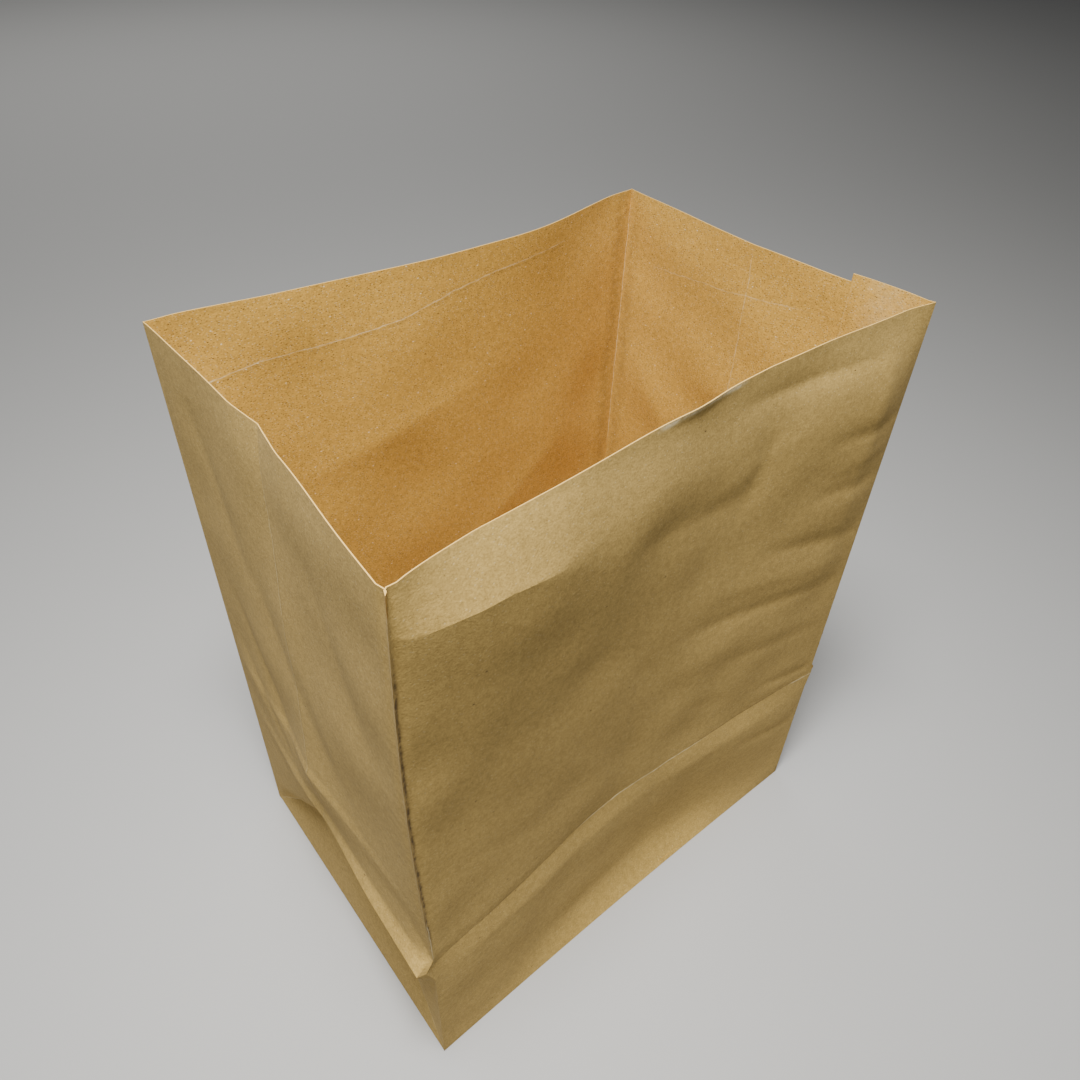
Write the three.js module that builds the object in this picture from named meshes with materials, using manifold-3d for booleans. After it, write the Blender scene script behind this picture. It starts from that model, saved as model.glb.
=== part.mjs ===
// A plain kraft paper sack, opened and standing: a self-opening, block-bottomed bag
// folded from one web of paper. Its long faces are plain panels, its narrow faces are
// gussets with a centre crease, the tube is closed by one glued lap seam inside a corner,
// and its bottom is folded shut like a parcel and glued. Millimetres, +Z up, the origin
// on the floor under the middle of the bag. The front face looks along -Y.

import * as THREE from 'three';
import { mergeVertices } from 'three/addons/utils/BufferGeometryUtils.js';
import Module from 'manifold-3d';

// The sack's own sizes, measured over the outside of the paper
const bagWidth = 254;
const bagDepth = 174;
const bagHeight = 320;
const paper = 0.4;

// The creases that the flat-folded sack leaves in its walls
const creaseHeight = 98;
const lipHeight = 20;

// The lap seam: an inner strip glued behind the right gusset. The web was cut a little
// skew, so the end with the strip stands higher at the rim than the end glued over it.
const seamWidth = 36;
const seamEdgeGap = 1.5;
const skewRise = 4;

// The bottom flaps, which pass the middle line of the bottom by half of their overlap
const flapOverlap = 28;

// How far the opened walls stand in from their flat planes, positive towards the inside
const frontCreasePull = 10;
const frontHollowTop = 175;
const frontLedgePull = 2.5;
const frontLipStand = 2.5;
const frontLipPull = 8.5;
const backRimPull = 15;
const backCreasePull = 12;
const backFootPull = 1;
const leftRimPull = 6;
const rightRimPull = 5;
const gussetBelly = 4.5;
const gussetApexPull = 8.5;
const ridgeKick = 5.5;
const ridgeBand = 18;
const ridgeCornerBand = 9;

// How far the rim of the upright edges leans in from their foot, and how far the near
// edge bows in between the two
const frontRightLean = 6;
const backRightLean = 5.5;
const backRightSink = 6;
const backLeftLean = 1.5;
const backLeftSpread = 2.5;
const nearEdgeBow = 3;

// How finely the curved walls are divided
const panelColumns = 14;
const gussetColumns = 12;
const upperRows = 9;

// What each glued layer shares with the next, so that the sack is one solid
const glueBite = 0.05;

const halfWidth = bagWidth / 2;
const halfDepth = bagDepth / 2;
const lipCrease = bagHeight - lipHeight;
const flapLength = halfDepth + flapOverlap / 2;
const ridgeTop = creaseHeight + ridgeBand;

const wasm = await Module();
wasm.setup();

function mix(a, b, share) {
  return a + (b - a) * share;
}

function clamp01(value) {
  return Math.min(1, Math.max(0, value));
}

// A value that runs straight from a at height low to b at height high, and stays outside
function ramp(z, low, high, a, b) {
  return mix(a, b, clamp01((z - low) / (high - low)));
}

// The front edges of both gussets are knocked outwards where the mountain fold meets them
function cornerKick(z) {
  if (z <= creaseHeight) {
    return ramp(z, halfDepth, creaseHeight, 0, ridgeKick);
  }
  return ramp(z, creaseHeight, creaseHeight + ridgeCornerBand, ridgeKick, 0);
}

// The front face: a valley crease across it low down with a ledge under it, a hollow over
// it, and a lip along the rim that leans in above a second crease, which stands out near
// the left edge. across runs from 0 to 1.
function frontPush(across, z) {
  const bow = Math.sin(Math.PI * across);
  const ledge = frontLedgePull * bow;
  const hollow = frontCreasePull * bow;
  const stand = across < 1 / 3 ? frontLipStand * Math.sin(3 * Math.PI * across) : 0;
  if (z > lipCrease) {
    const lipBow = Math.min(1, 1.7 * bow) ** 0.7;
    return ramp(z, lipCrease, bagHeight, ledge - stand, frontLipPull * lipBow);
  }
  if (z > creaseHeight) {
    return ramp(z, frontHollowTop, lipCrease, hollow, ledge - stand);
  }
  return ramp(z, halfDepth - halfDepth / 6, creaseHeight, ledge, hollow);
}

// The back face bows in towards its rim, most of all right of its middle, and creases
// a little below the rim. across runs from 0 at the right edge to 1 at the left edge.
function backPush(across, z) {
  const bow = Math.sin(Math.PI * across ** 0.85);
  if (z > lipCrease) {
    return bow * ramp(z, lipCrease, bagHeight, backCreasePull, backRimPull);
  }
  return bow * ramp(z, 0, lipCrease, backFootPull, backCreasePull);
}

// A gusset. across runs from 0 at its front edge to 1 at its back edge. Two diagonal
// valleys rise at 45 degrees from the bottom corners to an apex on the centre crease,
// pulled inwards. Over them a mountain fold runs across at the crease height, and above
// it the gusset is a shallow tent about its centre crease.
function gussetPush(across, z, rimPull) {
  const tent = 1 - Math.abs(2 * across - 1);
  const diagonal = halfDepth * tent;
  const valley = gussetApexPull * Math.sin(tent * Math.PI / 2);
  if (z <= diagonal) {
    return valley * z / Math.max(diagonal, paper);
  }
  const ridge = -ridgeKick * (1 - across) ** 0.35;
  const nearEdge = clamp01(1 - across * gussetColumns);
  const foot = mix(diagonal, halfDepth, nearEdge);
  if (z <= creaseHeight) {
    return ramp(z, foot, creaseHeight, valley, ridge);
  }
  const band = mix(ridgeBand, ridgeCornerBand, nearEdge);
  const tall = ramp(z, ridgeTop, lipCrease, -gussetBelly, rimPull);
  return ramp(z, creaseHeight, creaseHeight + band, ridge, tall * tent);
}

// The four upright edges: which side of the middle each is on, and how far it leans and
// bows towards the inside, along X and along Y
const corners = {
  frontLeft: { side: [-1, -1], lean: [0, 0], bow: nearEdgeBow },
  frontRight: { side: [1, -1], lean: [frontRightLean, 0], bow: 0 },
  backRight: { side: [1, 1], lean: [backRightLean, backRightSink], bow: 0 },
  backLeft: { side: [-1, 1], lean: [backLeftLean, -backLeftSpread], bow: 0 },
};

function evenColumns(count) {
  return Array.from({ length: count }, (_, i) => i / count);
}

const seamColumns = evenColumns(gussetColumns)
  .concat([seamEdgeGap / bagDepth, seamWidth / bagDepth])
  .sort((a, b) => a - b);

// The four panels in order round the bag, each from its first corner to its second.
// inward is the direction to the inside, and columns are the shares of its width.
const panels = {
  front: {
    start: corners.frontLeft,
    end: corners.frontRight,
    inward: [0, 1],
    columns: evenColumns(panelColumns),
    push: frontPush,
    kicked: [1, 1],
  },
  rightGusset: {
    start: corners.frontRight,
    end: corners.backRight,
    inward: [-1, 0],
    columns: seamColumns,
    push: (across, z) => gussetPush(across, z, rightRimPull),
    kicked: [0, 0],
  },
  back: {
    start: corners.backRight,
    end: corners.backLeft,
    inward: [0, -1],
    columns: evenColumns(panelColumns),
    push: backPush,
    kicked: [0, 0],
  },
  leftGusset: {
    start: corners.backLeft,
    end: corners.frontLeft,
    inward: [1, 0],
    columns: evenColumns(gussetColumns),
    push: (across, z) => gussetPush(1 - across, z, leftRimPull),
    kicked: [0, 0],
  },
};

// An upright edge at a height. inset is how deep in the paper the point lies.
function cornerAt(corner, z, inset, kick) {
  const rise = z / bagHeight;
  const bow = corner.bow * Math.sin(Math.PI * ramp(z, ridgeTop, bagHeight, 0, 1));
  return [
    corner.side[0] * (halfWidth - inset - corner.lean[0] * rise + kick),
    corner.side[1] * (halfDepth - inset - corner.lean[1] * rise - bow),
  ];
}

// A point of a panel: its share of the width, its height, and its depth in the paper
function wallPoint(panel, across, z, inset) {
  const kick = cornerKick(z);
  const a = cornerAt(panel.start, z, inset, kick * panel.kicked[0]);
  const b = cornerAt(panel.end, z, inset, kick * panel.kicked[1]);
  const push = panel.push(across, z);
  return [
    mix(a[0], b[0], across) + panel.inward[0] * push,
    mix(a[1], b[1], across) + panel.inward[1] * push,
    z,
  ];
}

// The heights of the rows: steps that keep the 45 degree folds on the grid, the crease,
// the band over it, the tall part of the wall, the lip crease and the lip
function rowHeights() {
  const steps = gussetColumns / 2;
  const rows = [];
  for (let i = 0; i <= steps; i += 1) {
    rows.push(halfDepth * i / steps);
  }
  rows.push(creaseHeight, creaseHeight + ridgeCornerBand, ridgeTop);
  for (let i = 1; i <= upperRows; i += 1) {
    rows.push(mix(ridgeTop, lipCrease, i / upperRows));
  }
  rows.push(mix(lipCrease, bagHeight, 0.5), bagHeight);
  return rows;
}

// The cut edge rises along the front panel to the seam, and starts level again behind it
function rimRise(panel, across) {
  if (panel === panels.front) {
    return skewRise * across;
  }
  const besideSeam = panel === panels.rightGusset && across < seamEdgeGap / bagDepth;
  return besideSeam ? skewRise : 0;
}

// The lip rows take up what the rim rises
function wallHeight(row, rise) {
  return row > lipCrease ? row + rise * (row - lipCrease) / lipHeight : row;
}

// Triangles join two neighbouring points of a ring to the next ring. The diagonal of
// each cell follows the 45 degree folds, which lean one way on each half of a gusset.
function addCell(faces, a, b, c, d, leans) {
  if (leans) {
    faces.push(a, b, c, a, c, d);
  } else {
    faces.push(a, b, d, b, c, d);
  }
}

// The tube: an outer and an inner skin on one grid, closed at the rim and at the foot
function wallSolid() {
  const rows = rowHeights();
  const ring = [];
  for (const panel of Object.values(panels)) {
    for (const across of panel.columns) {
      ring.push({ panel, across });
    }
  }
  const points = [];
  for (const inset of [0, paper]) {
    for (const row of rows) {
      for (const { panel, across } of ring) {
        const height = wallHeight(row, rimRise(panel, across));
        points.push(...wallPoint(panel, across, height, inset));
      }
    }
  }
  const count = ring.length;
  const skin = count * rows.length;
  const top = count * (rows.length - 1);
  const faces = [];
  for (let i = 0; i < count; i += 1) {
    const next = (i + 1) % count;
    const leans = ring[i].across < 0.5;
    for (let j = 0; j + 1 < rows.length; j += 1) {
      const low = j * count;
      const high = low + count;
      addCell(faces, low + i, low + next, high + next, high + i, leans);
      addCell(faces, skin + high + i, skin + high + next, skin + low + next,
        skin + low + i, !leans);
    }
    addCell(faces, top + i, top + next, skin + top + next, skin + top + i, leans);
    addCell(faces, skin + i, skin + next, next, i, leans);
  }
  return solidFrom(points, faces);
}

// The seam's inner strip, glued behind the right gusset from the front corner. Its free
// edge and its own rim, which stands above the outer ply, show inside the bag.
function seamStrip() {
  const panel = panels.rightGusset;
  const columns = panel.columns.filter((across) => across * bagDepth <= seamWidth + paper);
  const rows = rowHeights();
  const points = [];
  for (const inset of [paper - glueBite, 2 * paper]) {
    for (const row of rows) {
      for (const across of columns) {
        points.push(...wallPoint(panel, across, wallHeight(row, skewRise), inset));
      }
    }
  }
  return solidFrom(points, slabFaces(columns.length, rows.length));
}

// The faces of a thin slab whose two skins are grids of the same size
function slabFaces(across, up) {
  const skin = across * up;
  const at = (i, j) => j * across + i;
  const faces = [];
  for (let i = 0; i + 1 < across; i += 1) {
    for (let j = 0; j + 1 < up; j += 1) {
      addCell(faces, at(i, j), at(i + 1, j), at(i + 1, j + 1), at(i, j + 1), true);
      addCell(faces, skin + at(i, j + 1), skin + at(i + 1, j + 1), skin + at(i + 1, j),
        skin + at(i, j), false);
    }
    addCell(faces, skin + at(i, 0), skin + at(i + 1, 0), at(i + 1, 0), at(i, 0), true);
    addCell(faces, at(i, up - 1), at(i + 1, up - 1), skin + at(i + 1, up - 1),
      skin + at(i, up - 1), true);
  }
  for (let j = 0; j + 1 < up; j += 1) {
    addCell(faces, at(0, j), at(0, j + 1), skin + at(0, j + 1), skin + at(0, j), true);
    addCell(faces, skin + at(across - 1, j), skin + at(across - 1, j + 1),
      at(across - 1, j + 1), at(across - 1, j), true);
  }
  return faces;
}

// The foot of a panel between two shares of its width, along the middle of its paper
function footRun(panel, from, to) {
  const shares = panel.columns.filter((share) => share > from && share < to);
  return [from, ...shares, to].map((share) => wallPoint(panel, share, 0, paper / 2));
}

// A flat flap of one sheet of paper, lying in a layer of the bottom's stack
function flap(outline, layer) {
  const shape = new THREE.Shape(outline.map(([x, y]) => new THREE.Vector2(x, y)));
  const geometry = new THREE.ExtrudeGeometry(shape, {
    depth: paper + glueBite,
    bevelEnabled: false,
  });
  geometry.translate(0, 0, layer * paper);
  return closedSolid(geometry);
}

// A long flap: it starts at the foot of a wide panel, passes the middle line, and both
// its ends are folded back at 45 degrees
function longFlap(panel, layer) {
  const tip = -panel.start.side[1] * (flapLength - halfDepth);
  const outline = footRun(panel, 0, 1);
  for (const sign of [panel.end.side[0], panel.start.side[0]]) {
    outline.push([sign * (halfWidth - flapLength), tip]);
  }
  return flap(outline, layer);
}

// A short flap: the plain end of a gusset, folded in first
function shortFlap(panel, layer) {
  const inner = panel.start.side[0] * (halfWidth - flapLength);
  const outline = footRun(panel, 0, 1);
  for (const sign of [panel.end.side[1], panel.start.side[1]]) {
    outline.push([inner, sign * (halfDepth - paper / 2)]);
  }
  return flap(outline, layer);
}

// The paper of a corner, folded back under a long flap into a right triangle. end is 0
// at the first corner of the long panel and 1 at its second.
function cornerFold(panel, end, layer) {
  const share = flapLength / bagWidth;
  const outline = end === 0 ? footRun(panel, 0, share) : footRun(panel, 1 - share, 1);
  const sign = end === 0 ? panel.start.side[0] : panel.end.side[0];
  const tip = -panel.start.side[1] * (flapLength - halfDepth);
  outline.push([sign * (halfWidth - flapLength), tip]);
  return flap(outline, layer);
}

// The bottom's stack, from the front flap on the floor up to the gusset ends inside
function bottomSolids() {
  return [
    longFlap(panels.front, 0),
    cornerFold(panels.front, 0, 1),
    cornerFold(panels.front, 1, 1),
    longFlap(panels.back, 1),
    cornerFold(panels.back, 0, 2),
    cornerFold(panels.back, 1, 2),
    shortFlap(panels.rightGusset, 3),
    shortFlap(panels.leftGusset, 3),
  ];
}

function solidFrom(points, faces) {
  return new wasm.Manifold(new wasm.Mesh({
    numProp: 3,
    vertProperties: new Float32Array(points),
    triVerts: new Uint32Array(faces),
  }));
}

function closedSolid(geometry) {
  geometry.deleteAttribute('normal');
  geometry.deleteAttribute('uv');
  const merged = mergeVertices(geometry, 1e-4);
  return solidFrom(merged.attributes.position.array, merged.index.array);
}

function asGeometry(solid) {
  const mesh = solid.getMesh();
  const geometry = new THREE.BufferGeometry();
  geometry.setAttribute('position', new THREE.BufferAttribute(mesh.vertProperties, 3));
  geometry.setIndex(new THREE.BufferAttribute(mesh.triVerts, 1));
  geometry.computeVertexNormals();
  return geometry;
}

// The whole sack: the tube, its seam strip and its glued bottom are one sheet of paper.
// It is moved until the middle of its box is over the origin.
function sackSolid() {
  let sack = wallSolid().add(seamStrip());
  for (const piece of bottomSolids()) {
    sack = sack.add(piece);
  }
  const { min, max } = sack.boundingBox();
  return sack.translate([-(min[0] + max[0]) / 2, -(min[1] + max[1]) / 2, 0]);
}

const kraftPaper = new THREE.MeshStandardMaterial({
  color: 0xa98a55,
  roughness: 0.88,
  metalness: 0,
  side: THREE.DoubleSide,
});

const bag = new THREE.Mesh(asGeometry(sackSolid()), kraftPaper);
bag.name = 'paper_bag';

const group = new THREE.Group();
group.add(bag);

export default group;
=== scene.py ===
import math

import bpy
import numpy as np
from mathutils import Matrix, Vector


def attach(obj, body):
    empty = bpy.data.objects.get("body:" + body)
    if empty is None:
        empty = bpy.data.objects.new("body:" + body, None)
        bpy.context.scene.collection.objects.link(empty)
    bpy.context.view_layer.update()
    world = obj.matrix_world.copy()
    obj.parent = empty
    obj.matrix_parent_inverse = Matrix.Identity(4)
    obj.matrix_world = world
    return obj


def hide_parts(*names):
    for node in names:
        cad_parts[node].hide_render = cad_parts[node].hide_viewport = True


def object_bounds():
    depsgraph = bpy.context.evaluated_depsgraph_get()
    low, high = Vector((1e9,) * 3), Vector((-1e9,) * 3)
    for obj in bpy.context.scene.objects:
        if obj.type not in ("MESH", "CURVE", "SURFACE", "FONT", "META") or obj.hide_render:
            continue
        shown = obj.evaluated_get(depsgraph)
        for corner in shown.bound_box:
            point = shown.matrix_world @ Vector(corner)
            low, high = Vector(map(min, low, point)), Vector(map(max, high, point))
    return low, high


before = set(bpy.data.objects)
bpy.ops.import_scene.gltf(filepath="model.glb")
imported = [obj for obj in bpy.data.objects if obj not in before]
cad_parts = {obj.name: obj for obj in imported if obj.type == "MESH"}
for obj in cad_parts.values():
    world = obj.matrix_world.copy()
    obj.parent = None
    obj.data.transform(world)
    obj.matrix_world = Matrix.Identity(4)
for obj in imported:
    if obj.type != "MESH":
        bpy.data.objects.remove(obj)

bl_info = {
    "name": "Kraft paper sack",
    "version": (1, 0, 0),
    "blender": (4, 5, 0),
    "location": "View3D > Sidebar > Paper sack",
    "description": "Folds a block-bottomed kraft take-out sack from one flat web of paper",
    "category": "Add Mesh",
}

MM = 0.001
SACK = "paper_bag"
CAD_BOX = [list(corner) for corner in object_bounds()]


def linear(hex_colour):
    """The linear colour of an sRGB hex value such as 'a98a55'."""
    levels = [int(hex_colour[i:i + 2], 16) / 255 for i in (0, 2, 4)]
    return tuple(c / 12.92 if c <= 0.04045 else ((c + 0.055) / 1.055) ** 2.4 for c in levels)


def length(name, description, millimetres):
    """A size that a user can change in the sidebar."""
    return bpy.props.FloatProperty(
        name=name, description=description, default=millimetres * MM,
        unit="LENGTH", subtype="DISTANCE",
    )


def colour(name, description, hex_colour):
    """A colour that a user can change in the sidebar."""
    return bpy.props.FloatVectorProperty(
        name=name, description=description, default=linear(hex_colour),
        size=3, min=0, max=1, subtype="COLOR",
    )


class SackSizes(bpy.types.PropertyGroup):
    """The sizes of the folded sack."""

    width: length("Width", "Across the wide front face", 254)
    depth: length("Depth", "Across a gusset", 174)
    height: length("Height", "From the floor to the rim", 320)
    paper: length("Paper", "Thickness of the paper as drawn", 0.4)
    seam: length("Seam", "Width of the glued lap strip", 36)
    seam_gap: length("Seam gap", "Where the outer ply stops, short of the front corner", 1.5)
    flap: length("Flap", "How far the bottom flaps reach in from their edges", 101)
    crease: length("Crease height", "Height of the fold that laid the bottom flat", 98)
    lip: length("Lip", "Height of the part of the front wall that leans in at the rim", 18)
    step: length("Mesh step", "Spacing of the mesh on the paper", 3)


class SackColours(bpy.types.PropertyGroup):
    """The colours of the sack and of the floor."""

    outside: colour("Outside", "Unbleached kraft, the outer face", "b29452")
    inside: colour("Inside", "Unbleached kraft, the inner face", "c49a44")
    cut: colour("Cut edge", "The torn and cut fibres along the rim", "cda860")
    # The dark colour also paints shade: lines beside the near corner and some folds, and bands in
    # the inside's far corner.
    dark: colour("Dark fibres", "Bark and recycled fibres in the pulp", "4a3417")
    pale: colour("Pale fibres", "Bleached recycled fibres in the pulp", "e8d6a8")
    floor: colour("Floor", "The plain pale studio floor", "b2b1ae")


# The fold plan of the web. Lengths here and below are in millimetres.

# The rows are finer for this far above the level crease and below the lip
CREASE_BAND = 18
LIP_BAND = 12

# How far the near corner's crest reaches, its top's distance from the fold, and how many
# columns of the mesh it takes
PINCH_REACH = 5
PINCH_TOP = 1.5
PINCH_COLUMNS = 5

# How many stretches of the lip's fold, from the near corner on, are a crisp crease
CRISP_LIP_FOLDS = 3


class FoldPlan:
    """The flat web of paper: where its folds lie, along it (s) and up it (h)."""

    def __init__(self, sizes):
        self.width = sizes.width / MM
        self.depth = sizes.depth / MM
        self.height = sizes.height / MM
        self.paper = sizes.paper / MM
        self.seam = sizes.seam / MM
        self.gap = sizes.seam_gap / MM
        self.flap = sizes.flap / MM
        self.crease = sizes.crease / MM
        self.lip = self.height - sizes.lip / MM
        self.step = sizes.step / MM
        # The web runs from the outer ply's free edge behind the right gusset, round the
        # back and the left gusset to the front, and ends in the seam's inner strip.
        self.s_right_middle = self.depth / 2 - self.gap
        self.s_b = self.depth - self.gap
        self.s_a = self.s_b + self.width
        self.s_left_middle = self.s_a + self.depth / 2
        self.s_d = self.s_a + self.depth
        self.s_c = self.s_d + self.width
        self.s_end = self.s_c + self.seam
        self.band = CREASE_BAND
        self.pinch = PINCH_REACH

    def columns(self):
        """The mesh's places along the web, finest beside the near corner."""
        knots = [0, self.s_right_middle, self.s_b, self.s_a, self.s_left_middle,
                 self.s_d - self.pinch, self.s_d, self.s_d + self.pinch, self.s_c, self.s_end]
        fine = self.pinch / PINCH_COLUMNS
        return spaced(knots, [self.step] * 5 + [fine, fine] + [self.step] * 2)

    def rows(self):
        """The mesh's places up the web, coarse on the flaps and fine at the folds and rim."""
        knots = [-self.flap, 0, self.depth / 2, self.crease, self.crease + self.band,
                 self.lip - LIP_BAND, self.height]
        steps = [2 * self.step, self.step, 0.6 * self.step, 0.75 * self.step, self.step,
                 0.5 * self.step]
        return spaced(knots, steps)

    def fold_lines(self):
        """Slanting folds to cut into the flat web, as pairs of points (s, h)."""
        half = self.depth / 2
        lines = []
        for corner, middle in ((self.s_a, self.s_left_middle), (self.s_d, self.s_left_middle),
                               (self.s_b, self.s_right_middle)):
            lines.append(((corner, 0), (middle, half)))
        lines.append(((self.s_right_middle - half, 0), (self.s_right_middle, half)))
        for corner, side in ((self.s_b, 1), (self.s_a, -1), (self.s_d, 1), (self.s_c, -1)):
            lines.append(((corner, 0), (corner + side * self.flap, -self.flap)))
        for low, high in zip(LIP_FOLD[:CRISP_LIP_FOLDS], LIP_FOLD[1:]):
            lines.append(((self.s_d + low[0], low[1]), (self.s_d + high[0], high[1])))
        return lines


def spaced(knots, steps):
    """Places along a line that pass through every knot, about a step apart."""
    places = [knots[0]]
    for low, high, step in zip(knots, knots[1:], steps):
        count = max(1, round((high - low) / step))
        places += [low + (high - low) * i / count for i in range(1, count + 1)]
    return np.array(places)


# Forms of one value along a length

def share_between(x, low, high):
    """0 at low, 1 at high, straight between them and level outside."""
    return np.clip((x - low) / (high - low), 0, 1)


def smooth(x, low, high, a=0.0, b=1.0):
    """From a to b between low and high, with soft ends, and level outside."""
    share = share_between(x, low, high)
    return a + (b - a) * share * share * (3 - 2 * share)


def through(x, points):
    """A line through points (place, value), straight between them."""
    return np.interp(x, [p[0] for p in points], [p[1] for p in points])


def curve(x, points):
    """A smooth line through points (place, value)."""
    places = np.array([p[0] for p in points], float)
    values = np.array([p[1] for p in points], float)
    slopes = np.gradient(values, places)
    i = np.clip(np.searchsorted(places, x) - 1, 0, len(places) - 2)
    gap = places[i + 1] - places[i]
    t = np.clip((x - places[i]) / gap, 0, 1)
    start = values[i] * (1 + 2 * t) * (1 - t) ** 2 + slopes[i] * gap * t * (1 - t) ** 2
    end = values[i + 1] * t * t * (3 - 2 * t) + slopes[i + 1] * gap * t * t * (t - 1)
    return start + end


def hump(x, centre, reach):
    """A soft hump of height 1."""
    return np.exp(-((x - centre) / reach) ** 2)


def wrinkles(a, h, lines):
    """Soft furrows and ridges in a panel, each a segment with a depth and a width.

    A line is (a1, h1, a2, h2, depth, width): it fades towards both its ends."""
    total = np.zeros_like(a)
    for a1, h1, a2, h2, depth, wide in lines:
        along = np.array([a2 - a1, h2 - h1])
        size = np.hypot(*along)
        along = along / size
        t = ((a - a1) * along[0] + (h - h1) * along[1]) / size
        off = -(a - a1) * along[1] + (h - h1) * along[0]
        fade = np.where((t > 0) & (t < 1), np.sin(np.pi * np.clip(t, 0, 1)) ** 0.8, 0)
        total += depth * fade * np.exp(-np.abs(off / wide) ** 1.25)
    return total


COCKLE_WAVES = 14


def cockle(a, h, seed, size, wavelength):
    """The slight unevenness of handled paper: a few long waves in all directions."""
    rng = np.random.default_rng(seed)
    total = np.zeros_like(a)
    for _ in range(COCKLE_WAVES):
        turn = rng.uniform(0, 2 * math.pi)
        wave = wavelength * rng.uniform(0.6, 1.7)
        phase = rng.uniform(0, 2 * math.pi)
        total += np.sin(2 * math.pi * (a * math.cos(turn) + h * math.sin(turn)) / wave + phase)
    return total * size / math.sqrt(COCKLE_WAVES)


def quiet_at_edges(a, wide, reach=14):
    """0 on both edges of a panel and 1 away from them."""
    return smooth(a, 0, reach) * smooth(wide - a, 0, reach)


# How far the mountain fold of the left gusset stands out at its front edge, and that of
# the right gusset
EDGE_KICK = 3.8
FAR_EDGE_KICK = 2.0

# How far down and up an upright edge the kick fades
KICK_BELOW = 12
KICK_ABOVE = 7

# How far the near edge bows out and in, at most, above the level crease
NEAR_BOW = (-1.6, 2.2)

# The line below which the front wall no longer leans in: across the wall, and its height
LIP_FOLD = ((0, 302), (9, 298.5), (40, 296), (67, 291), (94, 285), (160, 287), (215, 290),
            (254, 292))

# The web was cut a little skew: its rim rises this much along the front to the seam
SKEW_RISE = 4.0

# Where the upright edges stand at the floor and at the rim. The opened sack is a little
# out of square.
EDGES = {
    "D": ((-125.6, -86.9), (-127.5, -87.5)),
    "C": ((126.2, -87.6), (120.8, -86.8)),
    "B": ((126.6, 86.8), (121.6, 81.0)),
    "A": ((-127.8, 87.4), (-125.3, 89.4)),
}


def edge_place(name, h, plan):
    """The x and y of an upright edge at the heights h."""
    (x0, y0), (x1, y1) = EDGES[name]
    share = np.clip(h / plan.height, 0, 1)
    x = x0 + (x1 - x0) * share
    y = y0 + (y1 - y0) * share
    bow = np.sin(np.pi * share_between(h, plan.crease + KICK_ABOVE, plan.height))
    if name == "D":
        x = x + NEAR_BOW[0] * bow
        y = y + NEAR_BOW[1] * bow
    if name in "DC":
        side = -1 if name == "D" else 1
        kick = EDGE_KICK if name == "D" else FAR_EDGE_KICK
        up = share_between(h, plan.crease - KICK_BELOW, plan.crease) * (h <= plan.crease)
        down = share_between(h, plan.crease + KICK_ABOVE, plan.crease) * (h > plan.crease)
        x = x + side * kick * (up + down)
    return x, y


# The front wall's levels: the top of the flared foot, how far the ledge rises to the level
# crease, and where the hollow middle lies
FLARE_TOP = 23
LEDGE_RISE = 14
HOLLOW_HEIGHT = 172

# How far the front wall stands in at each level: the place from its left edge, and the push
FLARE_PUSH = ((0, 0), (40, 2.8), (85, 7.6), (118, 10.6), (145, 12), (175, 10.4),
              (205, 5.5), (232, 1.8), (254, 0))
LEDGE_PUSH = ((0, 0), (21, 0.9), (50, 2.6), (83, 6.4), (118, 9.2), (144, 8.8),
              (171, 6.0), (200, 2.6), (228, 0.4), (254, 0))
CREASE_PUSH = ((0, 0), (21, 2.8), (50, 5.2), (83, 9), (118, 11.5), (144, 9.8),
               (171, 8.0), (200, 5.5), (228, 2.5), (254, 0))
LIP_PUSH = ((0, 0), (12, -1.6), (30, -2.8), (60, -1.8), (94, 1.6), (118, 4.6),
            (145, 7.0), (171, 6.6), (200, 3.0), (235, -2.6), (254, 0))
RIM_PUSH = ((0, 0), (5, 1.7), (12, 2.9), (19, 3.8), (33, 5.4), (61, 6.2),
            (95, 7.6), (132, 9.2), (165, 9.4), (207, 6.2), (240, 3.2), (254, 0))
FOOT_BOW = 1.5
HOLLOW_BOW = 1.0


def front_profile(a, h, plan):
    """The front wall's main bends: the flared foot, the ledge under the level crease, the
    hollow middle and the lip that leans in at the rim."""
    bow = np.sin(np.pi * np.clip(a / plan.width, 0, 1))
    foot = FOOT_BOW * bow
    flare = through(a, FLARE_PUSH)
    ledge = through(a, LEDGE_PUSH)
    crease = through(a, CREASE_PUSH)
    hollow = 0.55 * crease + HOLLOW_BOW * bow
    lip_fold = through(a, LIP_PUSH)
    rim = through(a, RIM_PUSH)
    lip_line = through(a, LIP_FOLD)
    ledge_foot = plan.crease - LEDGE_RISE
    value = foot + (flare - foot) * (1 - (1 - share_between(h, 0, FLARE_TOP)) ** 2)
    value = value + (ledge - flare) * smooth(h, FLARE_TOP, ledge_foot)
    value = value + (crease - ledge) * share_between(h, ledge_foot, plan.crease)
    value = value + (hollow - crease) * share_between(h, plan.crease, HOLLOW_HEIGHT)
    value = value + (lip_fold - hollow) * share_between(h, HOLLOW_HEIGHT, lip_line)
    return value + (rim - lip_fold) * share_between(h, lip_line, plan.height)


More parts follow.
